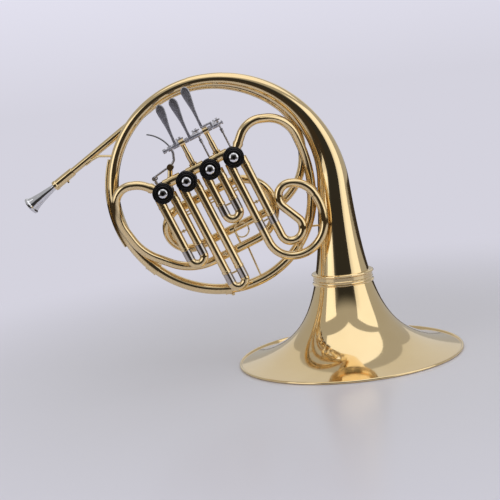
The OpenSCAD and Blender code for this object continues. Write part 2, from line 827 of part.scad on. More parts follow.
// Closed turns of spring wire from u0 to u1, with a leg lying along a lever
module wire_turns(u0, turns) {
    for (i = [0:turns - 1]) translate([u0 + 1.3 * i, 0, 0]) rotate([0, 90, 0])
        rotate_extrude() translate([spring_r, 0]) circle(0.55);
}

module lever_springs() {
    color(steel) {
        at_axle() {
            wire_turns(57.6, 4);
            wire_turns(82.6, 4);
            wire_turns(117, 4);
        }
        at_row() translate([thumb_u, -18.4, thumb_v]) for (i = [0:2]) translate([0, 1.3 * i, 0])
            rotate([90, 0, 0]) rotate_extrude() translate([spring_r, 0]) circle(0.55);
    }
}

// Flat teardrop key, from its stem at the origin upwards
module paddle() {
    half_width = [[0, 1.8], [14, 1.7], [26, 2.5], [36, 4], [44, 5.2], [50, 5.8]];
    tip = [for (a = [0:15:180]) [5.8 * cos(a), 50 + (paddle_len - 50) * sin(a)]];
    right = [for (p = half_width) [p[1], p[0]]];
    left = [for (i = [len(half_width) - 1:-1:0]) [-half_width[i][1], half_width[i][0]]];
    rotate([90, 0, 0]) linear_extrude(1.6, center = true) polygon(concat(right, tip, left));
}

module finger_lever(i) {
    lever = levers[i - 1];
    arm_u = lever[4];
    color(steel) at_axle() difference() {
        union() {
            bar_u(hub_r, lever[0], lever[1]);
            if (lever[2] < lever[0]) translate([0, -2.2, 6.2]) bar_u(1.5, lever[2] - 1.5, lever[0] + 2);
            if (lever[2] < lever[0]) translate([lever[0] + 1, -2.2, 0]) cylinder(r = 1.8, h = 6.2);
            translate([lever[2], -2.2, lever[2] < lever[0] ? 5.5 : 0])
                rotate([paddle_tilt, atan2(lever[3] - lever[2], paddle_len), 0]) paddle();
            rotate([swing / 2, 0, 0]) {
                translate([arm_u - 1.2, 0, -2]) cube([2.4, arm_len, 4]);
                translate([arm_u, arm_len, 0]) bar_u(2.6, -1.2, 1.2);
                translate([arm_u, arm_len, 0]) bar_u(pin_r, 1, 9);
            }
        }
        bar_u(axle_r + fit, 40, 150);
    }
}

// Bell crank for the thumb, swinging about a pin across the row
module thumb_lever() {
    hub = row_point(thumb_u, thumb_y, thumb_v);
    tip_u = thumb_u - arm_len * cos(swing / 2);
    tip_v = thumb_v - arm_len * sin(swing / 2);
    tip = row_point(tip_u, thumb_y, tip_v);
    color(steel) {
        difference() {
            union() {
                at_row() translate([thumb_u, 0, thumb_v]) bar_y(3.6, thumb_y - 2.5, thumb_y + 2.5);
                bent_tube(
                    [hub, row_point(40, thumb_y, 7.3), row_point(25, thumb_y, 5), tip], [20, 6], 1.5, 0
                );
                bent_tube(
                    [hub, row_point(56, thumb_y, 13), row_point(59.8, thumb_y, 23),
                     row_point(59.5, thumb_y, 33)], [6, 10], 1.7, 0
                );
            }
            at_row() translate([thumb_u, 0, thumb_v]) bar_y(axle_r + fit, -30, 0);
        }
        at_row() translate([16.3, thumb_y, 22.5]) rotate([90, 0, 0])
            rotate_extrude(angle = 45, start = 13) translate([43.2, -6]) square([1.5, 12]);
        at_row() translate([tip_u, 0, tip_v]) {
            bar_y(2.4, thumb_y - 1.8, thumb_y + 2.2);
            bar_y(pin_r, thumb_y, -4);
        }
    }
}

// Block on the row that carries the thumb lever's pin
module thumb_pivot() {
    foot = row_point(post_u(1), -valve_front, valve_v + port_half + sleeve_r);
    head = row_point(thumb_u, -valve_front, thumb_v);
    color(brass) {
        difference() {
            union() {
                straight_tube(foot - unit(head - foot), head, 3.3, 0);
                at_row() translate([thumb_u, 0, thumb_v]) bar_y(4.4, -34, -19.2);
            }
            at_valve(1) translate([0, 0, port_half]) bar_u(sleeve_r + 0.8, 0, valve_pitch);
            at_valve(1) coupling_solid();
            at_row() translate([thumb_u, 0, thumb_v]) bar_y(axle_r, -40, 0);
        }
        at_row() translate([thumb_u, 0, thumb_v]) {
            bar_y(axle_r, -34.4, -8.8);
            bar_y(3, -8.8, -7.4);
        }
    }
}

// Link from valve k's stop pin up to its lever's pin, drawn about the stop pin at rest
module link(k) {
    shift = link_shift[k - 1];
    pin_side = k == 1 ? -1 : 1;
    top_v = k == 1 ? thumb_v : axle_v;
    pin_u = valve_u(k) + pin_side * stop_r * cos(45);
    pin_v = valve_v + pin_side * stop_r * sin(45);
    rise = top_v + pin_side * arm_len * sin(swing / 2) - pin_v;
    color(steel) at_row() translate([pin_u, link_y, pin_v]) difference() {
        union() {
            bar_y(3, -1.5, 1.5);
            if (shift != 0) translate([min(0, shift), -1.5, -1.6]) cube([abs(shift), 3, 3.2]);
            translate([shift, 0, 0]) {
                translate([0, 0, shift == 0 ? 1.5 : -1.6])
                    cylinder(r = 1.3, h = shift == 0 ? rise - 3.6 : rise - 0.6);
                translate([0, 0, rise * 0.62]) cylinder(r = 1.9, h = 4);
                translate([0, 0, rise * 0.62 + 4]) cylinder(r = 2.2, h = 1.6, $fn = 6);
            }
            link_eye(k, shift, rise);
        }
        bar_y(1.2 + fit, -3, 3);
        link_hole(k, shift, rise);
    }
}

module link_eye(k, shift, rise) {
    translate([shift, 0, rise])
        if (k == 1) {
            bar_y(3.2, -1.5, 1.5);
            translate([1.7, 0, 0]) bar_y(3.2, -1.5, 1.5);
            translate([0, -1.5, -3.2]) cube([1.7, 3, 6.4]);
        } else bar_u(3.2, -1.5, 1.5);
}

module link_hole(k, shift, rise) {
    translate([shift, 0, rise])
        if (k == 1) {
            bar_y(eye_r, -3, 3);
            translate([1.7, 0, 0]) bar_y(eye_r, -3, 3);
            translate([0, -3, -eye_r]) cube([1.7, 6, 2 * eye_r]);
        } else bar_u(eye_r, -3, 3);
}

bell_flare();
bell_rim_wire();
garland_rings();
bell_throat();
bell_tail();
tail_ferrule();
loop_upper_branch();
loop_lower_branch();
first_branch();
valve_branch();
loop_ferrules();
guard_strip();
leadpipe();
mouthpiece_receiver();
mouthpiece();
leadpipe_brace();
tuning_sleeves();
return_bow();
tuning_slide_bow();
pull_ring();
feed_pipe();
valve_casing(1);  // valve_casing_1
valve_casing(2);  // valve_casing_2
valve_casing(3);  // valve_casing_3
valve_casing(4);  // valve_casing_4
bearing_plates();
valve_caps();
cap_hubs();
stop_plates();
stop_bumpers();
valve_couplings();
rotor(1);  // rotor_1
rotor(2);  // rotor_2
rotor(3);  // rotor_3
rotor(4);  // rotor_4
stop_arm(1);  // stop_arm_1
stop_arm(2);  // stop_arm_2
stop_arm(3);  // stop_arm_3
stop_arm(4);  // stop_arm_4
slide_sleeves(1);  // slide_sleeves_1
slide_sleeves(2);  // slide_sleeves_2
slide_sleeves(3);  // slide_sleeves_3
slide_sleeves(4);  // slide_sleeves_4
slide_crook(1);  // slide_crook_1
slide_crook(2);  // slide_crook_2
slide_crook(3);  // slide_crook_3
slide_crook(4);  // slide_crook_4
tube_braces();
lever_axle();
lever_posts();
lever_springs();
finger_lever(1);  // finger_lever_1
finger_lever(2);  // finger_lever_2
finger_lever(3);  // finger_lever_3
thumb_lever();
thumb_pivot();
link(1);  // link_1
link(2);  // link_2
link(3);  // link_3
link(4);  // link_4
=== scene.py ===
import json
import math
import bpy
import bmesh
from mathutils import Matrix, Vector

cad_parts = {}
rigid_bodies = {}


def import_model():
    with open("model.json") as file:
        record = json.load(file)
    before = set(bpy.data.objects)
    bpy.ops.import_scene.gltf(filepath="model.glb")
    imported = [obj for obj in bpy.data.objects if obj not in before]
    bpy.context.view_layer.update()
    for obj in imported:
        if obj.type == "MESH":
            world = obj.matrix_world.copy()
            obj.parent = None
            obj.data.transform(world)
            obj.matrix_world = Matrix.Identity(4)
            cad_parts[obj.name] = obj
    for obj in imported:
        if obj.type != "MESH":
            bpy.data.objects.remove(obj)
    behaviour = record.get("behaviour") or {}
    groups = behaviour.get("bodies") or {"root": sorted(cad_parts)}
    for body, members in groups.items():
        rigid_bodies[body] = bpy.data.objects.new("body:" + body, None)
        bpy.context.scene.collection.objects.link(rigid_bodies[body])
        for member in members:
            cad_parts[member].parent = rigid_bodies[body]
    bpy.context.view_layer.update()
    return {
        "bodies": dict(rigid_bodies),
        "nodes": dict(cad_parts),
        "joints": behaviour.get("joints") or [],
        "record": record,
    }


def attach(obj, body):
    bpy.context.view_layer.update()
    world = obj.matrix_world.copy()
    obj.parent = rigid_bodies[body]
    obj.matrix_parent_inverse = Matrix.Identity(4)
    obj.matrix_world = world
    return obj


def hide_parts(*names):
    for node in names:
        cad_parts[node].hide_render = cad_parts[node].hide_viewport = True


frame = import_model()
nodes = frame["nodes"]
MM = 0.001

# ---------------------------------------------------------------- camera
CAMERA_PLACE = Vector((-0.12256, -1.48854, 0.37187))
CAMERA_PITCH = math.radians(-8.1075)
CAMERA_ROLL = math.radians(-6.5566)
FOCAL_PER_FRAME = 2.2          # focal length over the frame's width


def make_camera():
    data = bpy.data.cameras.new("camera")
    data.sensor_width = 36
    data.lens = 36 * FOCAL_PER_FRAME
    data.clip_start = 0.05
    data.clip_end = 60
    ahead = Vector((0, math.cos(CAMERA_PITCH), math.sin(CAMERA_PITCH)))
    level = Vector((1, 0, 0))
    upright = level.cross(ahead)
    right = level * math.cos(CAMERA_ROLL) + upright * math.sin(CAMERA_ROLL)
    up = upright * math.cos(CAMERA_ROLL) - level * math.sin(CAMERA_ROLL)
    turn = Matrix((right, up, -ahead)).transposed()
    camera = bpy.data.objects.new("camera", data)
    camera.matrix_world = Matrix.Translation(CAMERA_PLACE) @ turn.to_4x4()
    bpy.context.scene.collection.objects.link(camera)
    bpy.context.scene.camera = camera


# ---------------------------------------------------------------- materials
def new_material(name):
    m = bpy.data.materials.new(name)
    m.use_nodes = True
    shader = m.node_tree.nodes["Principled BSDF"]
    return m, m.node_tree, shader


def link(tree, a, a_out, b, b_in):
    tree.links.new(a.outputs[a_out], b.inputs[b_in])


def noise_node(tree, scale, detail=4.0, rough=0.5):
    place = tree.nodes.new("ShaderNodeTexCoord")
    noise = tree.nodes.new("ShaderNodeTexNoise")
    noise.inputs["Scale"].default_value = scale
    noise.inputs["Detail"].default_value = detail
    noise.inputs["Roughness"].default_value = rough
    link(tree, place, "Object", noise, "Vector")
    return noise


def ramp_node(tree, source, stops):
    ramp = tree.nodes.new("ShaderNodeValToRGB")
    link(tree, source, "Fac", ramp, "Fac")
    while len(ramp.color_ramp.elements) < len(stops):
        ramp.color_ramp.elements.new(0.5)
    for e, (at, colour) in zip(ramp.color_ramp.elements, stops):
        e.position = at
        e.color = (*colour, 1)
    return ramp


def range_node(tree, source, low, high, start=0.3, end=0.7):
    out = tree.nodes.new("ShaderNodeMapRange")
    out.inputs["From Min"].default_value = start
    out.inputs["From Max"].default_value = end
    out.inputs["To Min"].default_value = low
    out.inputs["To Max"].default_value = high
    link(tree, source, "Fac", out, "Value")
    return out


def polished_metal(name, light, dark, smooth, cloudy, coat=0.0, ripple=0.02):
    """Polished metal with a slow drift of colour, cloudy polish marks and a faint ripple."""
    m, tree, shader = new_material(name)
    shader.inputs["Metallic"].default_value = 1
    shader.inputs["Coat Weight"].default_value = coat
    shader.inputs["Coat Roughness"].default_value = 0.03
    drift = noise_node(tree, 14, 3)
    link(tree, ramp_node(tree, drift, [(0.3, dark), (0.7, light)]), "Color", shader, "Base Color")
    marks = noise_node(tree, 160, 6, 0.6)
    link(tree, range_node(tree, marks, smooth, cloudy), "Result", shader, "Roughness")
    waves = noise_node(tree, 45, 2)
    bump = tree.nodes.new("ShaderNodeBump")
    bump.inputs["Strength"].default_value = ripple
    bump.inputs["Distance"].default_value = 0.001
    link(tree, waves, "Fac", bump, "Height")
    link(tree, bump, "Normal", shader, "Normal")
    return m


def make_materials():
    brass = polished_metal(
        "lacquered_brass", (0.92, 0.72, 0.41), (0.87, 0.66, 0.35), 0.05, 0.10, coat=0.5)
    made = {
        "lacquered_brass": brass,
        "silver": polished_metal("silver", (0.90, 0.90, 0.93), (0.80, 0.80, 0.84), 0.06, 0.14),
        "lever_steel": polished_metal(
            "lever_steel", (0.62, 0.62, 0.68), (0.50, 0.50, 0.56), 0.30, 0.42),
        "nickel": polished_metal("nickel", (0.60, 0.55, 0.51), (0.46, 0.42, 0.39), 0.06, 0.13),
        "cap_black": polished_metal(
            "cap_black", (0.06, 0.058, 0.06), (0.04, 0.038, 0.04), 0.25, 0.42),
        # Near-black finish, painted as the shade inside the blind holes of the valve hubs.
        "socket_black": polished_metal(
            "socket_black", (0.02, 0.02, 0.02), (0.008, 0.008, 0.01), 0.5, 0.7),
    }
    cork, tree, shader = new_material("bumper")
    grain = noise_node(tree, 900, 6, 0.7)
    link(tree, ramp_node(tree, grain, [(0.35, (0.20, 0.10, 0.05)), (0.65, (0.42, 0.26, 0.14))]),
         "Color", shader, "Base Color")
    shader.inputs["Roughness"].default_value = 0.85
    made["bumper"] = cork
    return made


def dress(piece, material):
    piece.data.materials.clear()
    piece.data.materials.append(material)


# ---------------------------------------------------------------- stage
FLOOR_R = 30
FLOOR_FADE_SEEN = (0.22, 1.0)        # metres over which the camera sees the floor turn into backdrop
FLOOR_FADE_REFLECTED = (0.60, 0.95)  # metres over which reflections see it go dark
ROOM_DARK = 0.03
ROOM_LIT = 0.42
BACKDROP = (0.66, 0.65, 0.73)
# Painted light: the backdrop is painted lighter towards the top.
BACKDROP_TOP = (0.78, 0.77, 0.88)


def camera_only(tree, seen_shader, other_shader):
    """Shader that the camera sees as the first and that reflections see as the second."""
    path = tree.nodes.new("ShaderNodeLightPath")
    mix = tree.nodes.new("ShaderNodeMixShader")
    link(tree, path, "Is Camera Ray", mix, "Fac")
    tree.links.new(other_shader.outputs[0], mix.inputs[1])
    tree.links.new(seen_shader.outputs[0], mix.inputs[2])
    return mix


def make_floor():
    mesh = bpy.data.meshes.new("floor")
    shape = bmesh.new()
    bmesh.ops.create_circle(shape, cap_ends=True, segments=96, radius=FLOOR_R)
    shape.to_mesh(mesh)
    shape.free()
    floor = bpy.data.objects.new("floor", mesh)
    bpy.context.scene.collection.objects.link(floor)
    m, tree, shader = new_material("floor_sheet")
    tone = noise_node(tree, 1.2, 2)
    link(tree, ramp_node(tree, tone, [(0.3, (0.76, 0.75, 0.83)), (0.7, (0.80, 0.79, 0.87))]),
         "Color", shader, "Base Color")
    shader.inputs["Roughness"].default_value = 0.22
    shader.inputs["Specular IOR Level"].default_value = 0.35
    # Away from the object the sheet fades into the plain backdrop, and reflects as unlit.
    place = tree.nodes.new("ShaderNodeTexCoord")
    reach = tree.nodes.new("ShaderNodeVectorMath")
    reach.operation = "LENGTH"
    link(tree, place, "Object", reach, 0)

    def fade(near, far):
        step = tree.nodes.new("ShaderNodeMapRange")
        step.interpolation_type = "SMOOTHSTEP"
        step.inputs["From Min"].default_value = near
        step.inputs["From Max"].default_value = far
        tree.links.new(reach.outputs["Value"], step.inputs["Value"])
        return step

    def blend_to(shader_out, other, step):
        mix = tree.nodes.new("ShaderNodeMixShader")
        link(tree, step, "Result", mix, "Fac")
        tree.links.new(shader_out.outputs[0], mix.inputs[1])
        tree.links.new(other.outputs[0], mix.inputs[2])
        return mix

    backdrop = tree.nodes.new("ShaderNodeEmission")
    backdrop.inputs["Color"].default_value = (*BACKDROP, 1)
    unlit = tree.nodes.new("ShaderNodeEmission")
    unlit.inputs["Color"].default_value = (0.04, 0.032, 0.025, 1)
    seen = blend_to(shader, backdrop, fade(*FLOOR_FADE_SEEN))
    reflected = blend_to(shader, unlit, fade(*FLOOR_FADE_REFLECTED))
    out = tree.nodes["Material Output"]
    tree.links.new(camera_only(tree, seen, reflected).outputs[0], out.inputs["Surface"])
    floor.data.materials.append(m)
    floor.location.z = -0.0002


def softbox(name, place, target, size, power, colour=(1, 1, 1)):
    data = bpy.data.lights.new(name, "AREA")
    data.shape = "RECTANGLE"
    data.size, data.size_y = size
    data.energy = power
    data.color = colour
    lamp = bpy.data.objects.new(name, data)
    lamp.location = place
    lamp.rotation_euler = (Vector(target) - Vector(place)).to_track_quat("-Z", "Y").to_euler()
    bpy.context.scene.collection.objects.link(lamp)


def make_lights():
    """Large soft panels like the walls and roof of a light tent, open towards the camera."""
    aim = (-0.05, 0, 0.15)
    softbox("left_panel", (-1.75, -1.15, 0.75), aim, (1.2, 1.7), 5.5, (1, 0.99, 0.98))
    softbox("right_panel", (1.55, -0.95, 0.80), aim, (1.7, 1.9), 7.5)
    softbox("roof", (0.1, -0.15, 2.0), aim, (2.3, 1.9), 9.5)
    softbox("rear_panel", (0.1, 2.3, 1.4), aim, (3.0, 1.8), 4)


def make_world():
    """Pale backdrop with painted light, lighter towards the top; in reflections a grey room, darkest
    behind the camera.
    """
    world = bpy.data.worlds.new("studio")
    bpy.context.scene.world = world
    world.use_nodes = True
    tree = world.node_tree
    tree.nodes.clear()
    out = tree.nodes.new("ShaderNodeOutputWorld")
    place = tree.nodes.new("ShaderNodeTexCoord")
    parts = tree.nodes.new("ShaderNodeSeparateXYZ")
    link(tree, place, "Generated", parts, "Vector")

    def step(axis, low, high):
        ramp = tree.nodes.new("ShaderNodeMapRange")
        ramp.interpolation_type = "SMOOTHSTEP"
        ramp.inputs["From Min"].default_value = low
        ramp.inputs["From Max"].default_value = high
        ramp.inputs["To Min"].default_value = ROOM_DARK
        ramp.inputs["To Max"].default_value = ROOM_LIT
        link(tree, parts, axis, ramp, "Value")
        return ramp

    brighter = tree.nodes.new("ShaderNodeMath")
    brighter.operation = "MAXIMUM"
    link(tree, step("Y", -0.86, -0.55), "Result", brighter, 0)
    link(tree, step("Z", 0.38, 0.60), "Result", brighter, 1)
    room = tree.nodes.new("ShaderNodeBackground")
    link(tree, brighter, "Value", room, "Color")
    shades = tree.nodes.new("ShaderNodeValToRGB")
    link(tree, parts, "Z", shades, "Fac")
    low, high = shades.color_ramp.elements
    low.color = (*BACKDROP, 1)
    high.position = 0.12
    high.color = (*BACKDROP_TOP, 1)
    backdrop = tree.nodes.new("ShaderNodeBackground")
    link(tree, shades, "Color", backdrop, "Color")
    tree.links.new(camera_only(tree, backdrop, room).outputs[0], out.inputs["Surface"])


# ---------------------------------------------------------------- shapes, in millimetres
SHEET = 0.6                    # thickness of the bell sheet
WALL = 0.5                     # thickness of the tube walls
BACK = Vector((0, 1, 0))
EDGE_ANGLE = math.radians(35)  # edges sharper than this are shaded sharp


def smooth_shading(mesh):
    for face in mesh.polygons:
        face.use_smooth = True
    mesh.set_sharp_from_angle(angle=EDGE_ANGLE)


def add_piece(name, shells, body, finish, replaced=()):
    """One object from closed shells of (points, faces)."""
    points, faces = [], []
    for shell_points, shell_faces in shells:
        first = len(points)
        points += [Vector(p) * MM for p in shell_points]
        faces += [tuple(first + i for i in face) for face in shell_faces]
    mesh = bpy.data.meshes.new(name)
    mesh.from_pydata(points, [], faces)
    mesh.update()
    smooth_shading(mesh)
    piece = bpy.data.objects.new(name, mesh)
    bpy.context.scene.collection.objects.link(piece)
    dress(piece, materials[finish])
    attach(piece, body)
    if replaced:
        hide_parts(*replaced)
    return piece


def loft(rings, closed):
    """Skin through rings of points, joined end to end if closed, otherwise capped at both ends."""
    sides = len(rings[0])
    points = [p for ring in rings for p in ring]
    count = len(rings)
    faces = []
    for i in range(count if closed else count - 1):
        n = (i + 1) % count
        for j in range(sides):
            k = (j + 1) % sides
            faces.append((i * sides + j, i * sides + k, n * sides + k, n * sides + j))
    if not closed:
        faces.append(tuple(range(sides - 1, -1, -1)))
        faces.append(tuple((count - 1) * sides + j for j in range(sides)))
    return points, faces


def straight(p, q):
    ahead = (q - p).normalized()
    return [(p, ahead), (q, ahead)]


def arc(x, z, bend, start, end, y=0.0, step=2.5):
    """Centreline in the plane of the loop about (x, z), between two angles in degrees."""
    count = max(2, math.ceil(abs(end - start) / step))
    path = []
    for i in range(count + 1):
        a = math.radians(start + (end - start) * i / count)
        path.append((Vector((x + bend * math.cos(a), y, z + bend * math.sin(a))),
                     Vector((-math.sin(a), 0, math.cos(a)))))
    return path


def rounded(corners, bends, step=math.radians(3)):
    """Centreline along straight legs between the corners, each corner rounded to its bend radius."""
    path = []
    here = corners[0]
    for i, bend in enumerate(bends, 1):
        before = (corners[i] - corners[i - 1]).normalized()
        after = (corners[i + 1] - corners[i]).normalized()
        turn = before.angle(after)
        cut = bend * math.tan(turn / 2)
        begin = corners[i] - before * cut
        inward = (after - before * before.dot(after)).normalized()
        centre = begin + inward * bend
        path.append((here, before))
        count = max(2, math.ceil(turn / step))
        for j in range(count + 1):
            t = turn * j / count
            place = centre - inward * (bend * math.cos(t)) + before * (bend * math.sin(t))
            path.append((place, before * math.cos(t) + inward * math.sin(t)))
        here = corners[i] + after * cut
    path.append((corners[-1], (corners[-1] - here).normalized()))
    return path


def sweep(path, outer, inner, sides=40):
    """Tube or rod along a path of (place, direction); outer and inner are radii or lists of radii."""
    outside = outer if isinstance(outer, list) else [outer] * len(path)
    inside = inner if isinstance(inner, list) else [inner] * len(path)
    across = path[0][1].orthogonal().normalized()
    if abs(path[0][1].y) < 0.9:
        across = (BACK - path[0][1] * path[0][1].y).normalized()
    frames = []
    last = path[0][1]
    for place, ahead in path:
        across = last.rotation_difference(ahead) @ across
        last = ahead
        frames.append((place, across, ahead.cross(across)))

    def ring(frame, r):
        place, a, b = frame
        turns = [math.tau * j / sides for j in range(sides)]
        return [place + a * (r * math.cos(t)) + b * (r * math.sin(t)) for t in turns]

    rings = [ring(f, r) for f, r in zip(frames, outside)]
    if inner == 0:
        return loft(rings, False)
    rings += [ring(f, r) for f, r in reversed(list(zip(frames, inside)))]
    return loft(rings, True)


def turned(start, ahead, profile, bore, sides=48):
    """Solid of revolution from start along ahead, through (distance, radius) points, with a bore."""
    path = [(start + ahead * d, ahead) for d, r in profile]
    return sweep(path, [r for d, r in profile], bore, sides)


def band(start, end, r, lip=0.25):
    """Profile of a cylinder with broken edges."""
    return [(start, r - lip), (start + lip, r), (end - lip, r), (end, r - lip)]


# ---------------------------------------------------------------- bell
RIM_R = 155
FLARE_DEPTH = 25
FLARE_POWER = 0.835
FLARE_START = 1.35
THROAT_TOP = 240
TAIL_BEND = 155
TAIL_END_R = 7.8
BELL_SIDES = 160


def flare_r(z):
    return RIM_R * (FLARE_DEPTH / (z - 1 + FLARE_DEPTH)) ** FLARE_POWER


def flare_inside(z):
    slope = -FLARE_POWER * flare_r(z) / (z - 1 + FLARE_DEPTH)
    length = math.hypot(1, slope)
    return flare_r(z) - SHEET / length, z + SHEET * slope / length


def around(r, z):
    turns = [math.tau * j / BELL_SIDES for j in range(BELL_SIDES)]
    return [(r * math.cos(t), r * math.sin(t), z) for t in turns]


def tail_ring(share, inset):
    a = math.pi / 2 * share
    start_r = flare_r(THROAT_TOP)
    r = start_r * (TAIL_END_R / start_r) ** share - inset
    ring = []
    for j in range(BELL_SIDES):
        t = math.tau * j / BELL_SIDES
        reach = TAIL_BEND + r * math.cos(t)
        ring.append((reach * math.cos(a) - TAIL_BEND, r * math.sin(t), THROAT_TOP + reach * math.sin(a)))
    return ring


def make_bell():
    """Flare, throat and bent tail as one unbroken sheet."""
    steps, bent = 110, 70
    heights = [FLARE_START + (THROAT_TOP - FLARE_START) * (i / steps) ** 2 for i in range(steps)]
    shares = [i / bent for i in range(bent + 1)]
    outside = [around(flare_r(z), z) for z in heights] + [tail_ring(s, 0) for s in shares]
    inside = [around(*flare_inside(z)) for z in heights] + [tail_ring(s, SHEET) for s in shares]
    add_piece("bell_skin", [loft(outside + inside[::-1], True)], "horn_body", "lacquered_brass",
              ("bell_flare", "bell_throat", "bell_tail"))


def make_rim():
    """Edge of the bell rolled over a wire, flat where it stands."""
    bead, middle = 1.8, 1.6
    low = math.asin(middle / bead)
    turns = [-low + (math.pi + 2 * low) * i / 20 for i in range(21)]
    outline = [(RIM_R - bead + bead * math.cos(t), middle + bead * math.sin(t)) for t in turns]
    add_piece("bell_rim_roll", [loft([around(r, z) for r, z in outline], True)], "horn_body",
              "lacquered_brass", ("bell_rim_wire",))


# ---------------------------------------------------------------- valve row
ROW_TILT = math.radians(20.5)
ROW_START = Vector((-258, 0, 262))
VALVE_PITCH = 34.8
VALVE_FRONT = 30
VALVE_V = -18.2
LEG_HALF = 9.4


def row_dir(angle):
    a = ROW_TILT + math.radians(angle)
    return Vector((math.cos(a), 0, math.sin(a)))


def row_point(u, y, v):
    return ROW_START + u * row_dir(0) + y * BACK + v * row_dir(90)


def valve_u(k):
    return 25.5 + VALVE_PITCH * (k - 1)


def at_valve(k, u, v):
    return row_point(valve_u(k) + u, -VALVE_FRONT, VALVE_V + v)


# ---------------------------------------------------------------- body tubes
LOOP_X = -155
LOOP_Z = 252.5
LOOP_BEND = 142.5
FIRST_Z = 235
FIRST_BEND = 125
REAR_R = 5.9
REAR_IN = 5.5
LEADPIPE_Y = 14.8
LEAD_R = 5.5
LEAD_TIP_R = 4.6
LEAD_TAPER = 144
TUNING_A = (0, -48)            # places of the two legs of the tuning slide: behind, across the row
TUNING_B = (LEADPIPE_Y, -108)
SLEEVE_START = 39
SLEEVE_A_END = 108
SLEEVE_B_END = 140.2
BOW_START = 31.5
FEED_V = -133.5


def make_tube(name, path, r, inner, body="horn_body"):
    add_piece(name + "_tube", [sweep(path, r, inner)], body, "lacquered_brass", (name,))


def make_loop():
    make_tube("loop_upper_branch", arc(LOOP_X, LOOP_Z, LOOP_BEND, 90, 225), 7.7, 7.7 - WALL)
    make_tube("loop_lower_branch", arc(LOOP_X, LOOP_Z, LOOP_BEND, 225, 270), 7.2, 7.2 - WALL)
    make_tube("first_branch", arc(LOOP_X, FIRST_Z, FIRST_BEND, 270, 360), 6.6, 6.6 - WALL)
    up = LOOP_X + FIRST_BEND
    corners = [Vector((up, 0, FIRST_Z)), Vector((up, 0, 270)), Vector((-54, -14, 336)),
               Vector((-109.2, -VALVE_FRONT, 336)), at_valve(4, 0, 0) + 18 * row_dir(45)]
    make_tube("valve_branch", rounded(corners, [160, 45, 31]), 6, 6 - WALL)


def make_leadpipe():
    """Runs level behind the loop, turning by the given angles, and tapers to the mouthpiece."""
    turns = [(0.5, 80, 69.5), (6, 80, 49), (0.1, 150, 41), (0.1, 132, 32.6)]
    corners = [row_point(SLEEVE_B_END, *TUNING_B)]
    heading, carry = 20.5, 0
    for run, bend, turn in turns:
        ahead = Vector((math.cos(math.radians(heading)), 0, math.sin(math.radians(heading))))
        cut = bend * math.tan(math.radians(turn) / 2)
        corners.append(corners[-1] + (carry + run + cut) * ahead)
        heading, carry = heading + turn, cut
    ahead = Vector((math.cos(math.radians(heading)), 0, math.sin(math.radians(heading))))
    corners.append(corners[-1] + (carry + 2) * ahead)
    path = rounded(corners, [bend for run, bend, turn in turns])
    radii = [LEAD_R] * len(path) + [LEAD_TIP_R]
    path.append((corners[-1] + LEAD_TAPER * ahead, ahead))
    make_tube("leadpipe", path, radii, [r - WALL for r in radii])


def make_tail_ferrule():
    """Slim sleeve over the end of the bell's tail and the start of the loop."""
    wide, slim, bore = 8.75, 8.05, 7.2
    path = arc(LOOP_X, THROAT_TOP, TAIL_BEND, 82, 90)
    path += arc(LOOP_X, LOOP_Z, LOOP_BEND, 90, 100)[1:]
    radii = [wide + (slim - wide) * min(1, 2 * i / (len(path) - 1)) for i in range(len(path))]
    add_piece("tail_ferrule_sleeve", [sweep(path, radii, bore)], "horn_body", "lacquered_brass",
              ("tail_ferrule",))


def make_feed_pipe():
    corners = [row_point(SLEEVE_A_END, 0, FEED_V), Vector((-203, 0, 140)), Vector((-268, -14, 175)),
               Vector((-293, -24, 222)), Vector((-293, -VALVE_FRONT, 267.5)),
               Vector((-257.6, -VALVE_FRONT, 267.5)), at_valve(1, 0, 0) + 18 * row_dir(135)]
    make_tube("feed_pipe", rounded(corners, [70, 75, 65, 24, 36]), REAR_R, REAR_IN)
    middle = row_point(SLEEVE_A_END, 0, (TUNING_A[1] + FEED_V) / 2)
    bend = (TUNING_A[1] - FEED_V) / 2
    tilt = math.degrees(ROW_TILT)
    make_tube("return_bow", arc(middle.x, middle.z, bend, -90 + tilt, 90 + tilt), REAR_R, REAR_IN)


def make_tuning_slide():
    along = row_dir(0)
    sleeves = []
    for (y, v), end, last in ((TUNING_A, SLEEVE_A_END, 5), (TUNING_B, SLEEVE_B_END, 8)):
        length = end - SLEEVE_START
        profile = band(0, 4, REAR_R + 0.7) + [(4, REAR_R), (length - last, REAR_R)]
        profile += band(length - last, length, REAR_R + 0.7)
        sleeves.append(turned(row_point(SLEEVE_START, y, v), along, profile, REAR_IN))
    add_piece("tuning_sleeve_pair", sleeves, "horn_body", "lacquered_brass", ("tuning_sleeves",))

    legs = [row_point(BOW_START, *place) for place in (TUNING_A, TUNING_B)]
    middle = (legs[0] + legs[1]) / 2
    out = (legs[0] - legs[1]) / 2
    bow = []
    for i in range(61):
        t = math.pi * i / 60
        bow.append((middle + out * math.cos(t) - along * (out.length * math.sin(t)),
                    -out.normalized() * math.sin(t) - along * math.cos(t)))
    shells = [sweep(bow, REAR_R, REAR_IN)]
    ring_end = SLEEVE_START - 0.4 - BOW_START
    leg_end = SLEEVE_START + 46 - BOW_START
    for leg in legs:
        profile = band(0, ring_end, REAR_R + 0.5)
        profile += [(ring_end, REAR_IN - 0.05), (leg_end, REAR_IN - 0.05)]
        shells.append(turned(leg, along, profile, REAR_IN - 0.5))
    add_piece("tuning_slide_tubes", shells, "tuning_slide", "lacquered_brass", ("tuning_slide_bow",))


# ---------------------------------------------------------------- finger levers
AXLE_Y = -34.5
AXLE_V = 29.5
PADDLE_TILT = math.radians(8)
PADDLE_LEN = 58
# Each finger key: its stem and its top along the row, and the height of its stem
PADDLES = ((68.8, 73.2, 0), (90, 92, 0), (110, 112.4, 5.5))
PADDLE_FORWARD = -2.2
